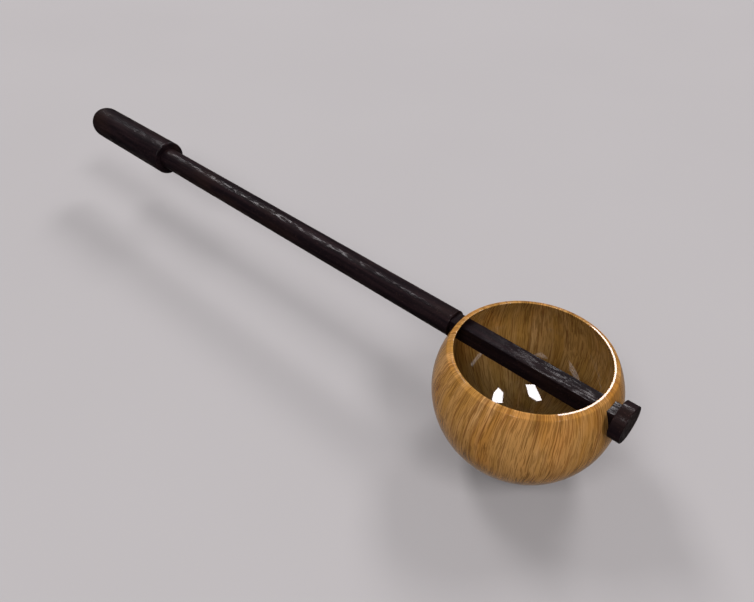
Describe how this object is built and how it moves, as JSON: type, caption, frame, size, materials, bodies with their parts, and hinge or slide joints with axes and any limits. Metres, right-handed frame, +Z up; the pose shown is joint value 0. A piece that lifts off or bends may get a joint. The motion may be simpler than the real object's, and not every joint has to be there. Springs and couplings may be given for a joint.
{
  "type": "spike lute body",
  "caption": "Unstrung spike lute body: an open round wooden bowl threaded on a long dark stick with a domed head and a short tail button.",
  "frame": {"origin": "bottom centre of the bounding box: half way along the instrument, on its centre plane, at the level of the bowl's lowest point", "axes": "+X along the stick from the head to the tail button, +Y to the left when looking along +X, +Z up out of the bowl's mouth"},
  "size_m": [0.641, 0.13, 0.102],
  "materials": {
    "pale_wood": "clear high-gloss varnish over straight, open-grained light brown wood",
    "dark_wood": "oiled and burnished near-black wood, semi-gloss, with fine uneven grain",
    "dowel_wood": "bare pale wood, glued, hidden"
  },
  "bodies": {
    "root": {"bowl": "pale_wood", "neck": "dark_wood", "head": "dark_wood", "tail_button": "dark_wood", "tail_dowel": "dowel_wood"}
  },
  "joints": []
}
